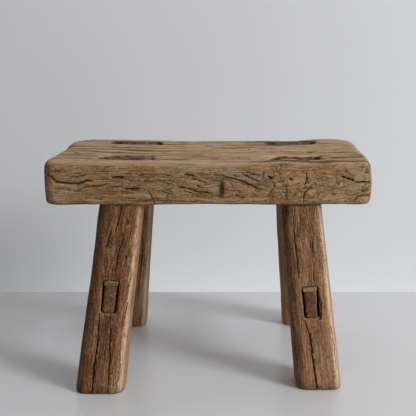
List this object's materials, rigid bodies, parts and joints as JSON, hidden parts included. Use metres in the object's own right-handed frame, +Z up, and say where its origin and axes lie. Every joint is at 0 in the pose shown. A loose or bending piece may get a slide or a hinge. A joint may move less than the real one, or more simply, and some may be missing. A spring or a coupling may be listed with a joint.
{
  "type": "milking stool",
  "caption": "Low rustic wooden stool: a thick worn plank seat on splayed tenoned legs, tied at each side by a wedged through stretcher.",
  "frame": {"origin": "on the floor under the middle of the stool's overall box", "axes": "+X to the right along the plank as seen from the front, -Y to the front, +Z up"},
  "size_m": [0.4072, 0.3051, 0.2795],
  "materials": {
    "seat_wood": "worn, dry, unpolished",
    "leg_wood": "worn, satin from handling",
    "stretcher_wood": "worn, dry",
    "wedge_wood": "worn, dry"
  },
  "bodies": {
    "root": {"seat_plank": "seat_wood", "leg_front_left": "leg_wood", "leg_front_right": "leg_wood", "leg_rear_left": "leg_wood", "leg_rear_right": "leg_wood", "stretcher_left": "stretcher_wood", "stretcher_right": "stretcher_wood", "stretcher_wedge_front_left": "wedge_wood", "stretcher_wedge_front_right": "wedge_wood", "stretcher_wedge_rear_left": "wedge_wood", "stretcher_wedge_rear_right": "wedge_wood", "tenon_wedge_front_left_left": "wedge_wood", "tenon_wedge_front_left_right": "wedge_wood", "tenon_wedge_front_right_left": "wedge_wood", "tenon_wedge_front_right_right": "wedge_wood", "tenon_wedge_rear_left_left": "wedge_wood", "tenon_wedge_rear_left_right": "wedge_wood", "tenon_wedge_rear_right_left": "wedge_wood", "tenon_wedge_rear_right_right": "wedge_wood"}
  },
  "joints": []
}
